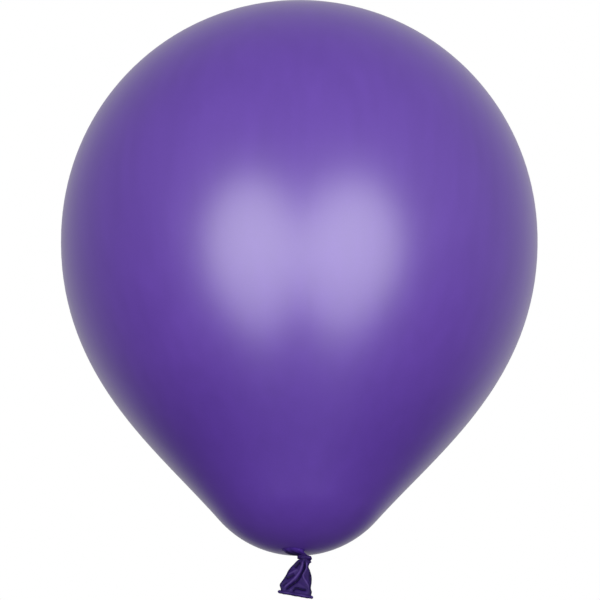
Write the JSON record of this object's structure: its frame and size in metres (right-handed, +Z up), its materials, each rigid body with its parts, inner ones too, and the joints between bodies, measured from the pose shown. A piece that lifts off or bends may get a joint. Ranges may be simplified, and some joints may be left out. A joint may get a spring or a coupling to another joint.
{
  "type": "latex balloon",
  "caption": "Inflated round latex party balloon, a violet pear-shaped envelope with a gathered neck tied in an overhand knot and a short flat tail that ends in a rolled lip.",
  "frame": {"origin": "the tie point, in the narrow gap between the envelope's chin and the knot, where a ribbon, a cup or a clip holds the balloon", "axes": "+Z up the balloon's axis from the tie point to the crown, +X along the flat of the tail, +Y through the tail from front to back"},
  "size_m": [0.3064, 0.3064, 0.3922],
  "materials": {
    "inflated_latex": "satin",
    "thick_latex": "satin"
  },
  "bodies": {
    "envelope": {"envelope": "inflated_latex"},
    "neck": {"neck_gather": "thick_latex"},
    "knot": {"knot_wrap": "thick_latex", "knot_tuck": "thick_latex"},
    "tail": {"tail": "thick_latex", "rolled_lip": "thick_latex"}
  },
  "joints": [
    {"name": "neck_twist", "type": "hinge", "parent": "envelope", "child": "neck", "pos_m": [0, 0, 0], "axis": [0, 0, 1], "range_deg": [-120, 120], "stiffness_Nm_per_rad": 0.0002},
    {"name": "knot_tilt", "type": "hinge", "parent": "neck", "child": "knot", "pos_m": [0.0024, 0, -0.002], "axis": [0, 1, 0], "range_deg": [-12, 12], "stiffness_Nm_per_rad": 0.0005},
    {"name": "tail_flap", "type": "hinge", "parent": "knot", "child": "tail", "pos_m": [0.0038, 0, -0.0069], "axis": [1, 0, 0], "range_deg": [-70, 70], "stiffness_Nm_per_rad": 0.0002}
  ]
}
